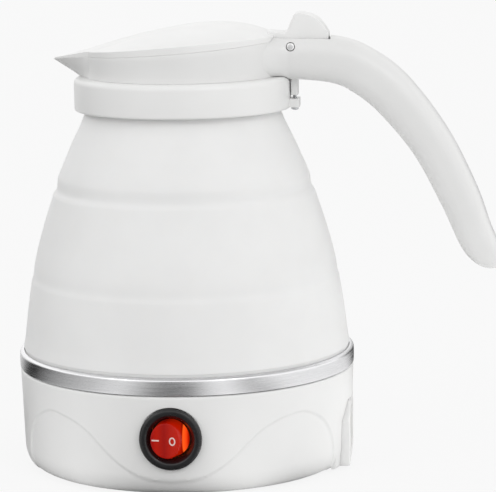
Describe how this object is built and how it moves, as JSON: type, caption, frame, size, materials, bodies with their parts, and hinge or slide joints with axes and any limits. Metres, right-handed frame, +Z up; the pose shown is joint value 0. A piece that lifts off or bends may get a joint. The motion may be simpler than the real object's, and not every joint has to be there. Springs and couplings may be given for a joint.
{
  "type": "collapsible kettle",
  "caption": "Electric travel kettle with a folding silicone body, steel heating dish in a white base with a lit rocker switch, drooping handle and hinged lid.",
  "frame": {"origin": "on the body's axis, at the flat underside of the base", "axes": "+Z up along the body's axis, +X towards the handle, -Y towards the switch"},
  "size_m": [0.1929, 0.1377, 0.1785],
  "materials": {
    "white_plastic": "semi-gloss moulded polypropylene",
    "silicone": "matte, slightly translucent food-grade silicone",
    "foot_rubber": "matte",
    "stainless": "brushed stainless, turned round the axis",
    "zinc_steel": "zinc-plated",
    "cast_aluminium": "cast",
    "heater_sheath": "heat-darkened sheath",
    "ceramic": "unglazed ceramic",
    "terminal_brass": "bright",
    "wire_red": "satin insulation",
    "wire_blue": "satin insulation",
    "wire_green": "satin insulation",
    "black_plastic": "satin nylon",
    "red_lens": "translucent, lit from behind",
    "lamp_glass": "clear"
  },
  "bodies": {
    "base": {"base_shell": "white_plastic", "bottom_cover": "white_plastic", "foot_1": "foot_rubber", "foot_2": "foot_rubber", "foot_3": "foot_rubber", "foot_4": "foot_rubber", "cover_screw_1": "zinc_steel", "cover_screw_2": "zinc_steel", "cover_screw_3": "zinc_steel", "steel_pan": "stainless", "pan_nut_1": "zinc_steel", "pan_nut_2": "zinc_steel", "pan_nut_3": "zinc_steel", "body_clamp_ring": "stainless", "heat_spreader": "cast_aluminium", "heating_element": "heater_sheath", "thermostat": "black_plastic", "thermal_fuse": "ceramic", "inlet_socket": "white_plastic", "inlet_pin_live": "terminal_brass", "inlet_pin_neutral": "terminal_brass", "inlet_pin_earth": "terminal_brass", "wire_live": "wire_red", "wire_switched": "wire_red", "wire_neutral": "wire_blue", "wire_fused": "wire_blue", "wire_earth": "wire_green", "switch_body": "black_plastic", "switch_lamp": "lamp_glass", "switch_terminal_1": "terminal_brass", "switch_terminal_2": "terminal_brass", "switch_terminal_3": "terminal_brass", "silicone_lower_band": "silicone", "silicone_fold_band": "silicone"},
    "rocker": {"switch_rocker": "red_lens"},
    "top": {"silicone_upper_band": "silicone", "neck_clamp_ring": "white_plastic", "collar": "white_plastic", "collar_screw": "zinc_steel", "handle_frame": "white_plastic", "handle_cover": "white_plastic", "handle_cover_screw_1": "zinc_steel", "handle_cover_screw_2": "zinc_steel", "hinge_pin": "stainless"},
    "lid": {"lid_cover": "white_plastic", "lid_inner_plate": "white_plastic", "lid_seal": "silicone", "lid_screw_1": "zinc_steel", "lid_screw_2": "zinc_steel", "lid_screw_3": "zinc_steel"}
  },
  "joints": [
    {"name": "body_fold", "type": "slide", "parent": "base", "child": "top", "axis": [0, 0, 1], "range_m": [-0.0686, 0], "deforming": ["silicone_fold_band"]},
    {"name": "lid_hinge", "type": "hinge", "parent": "top", "child": "lid", "pos_m": [0.0433, 0, 0.1646], "axis": [0, 1, 0], "range_deg": [0, 60]},
    {"name": "rocker_hinge", "type": "hinge", "parent": "base", "child": "rocker", "pos_m": [0, -0.0635, 0.0222], "axis": [0, 0, 1], "range_deg": [0, 28]}
  ]
}
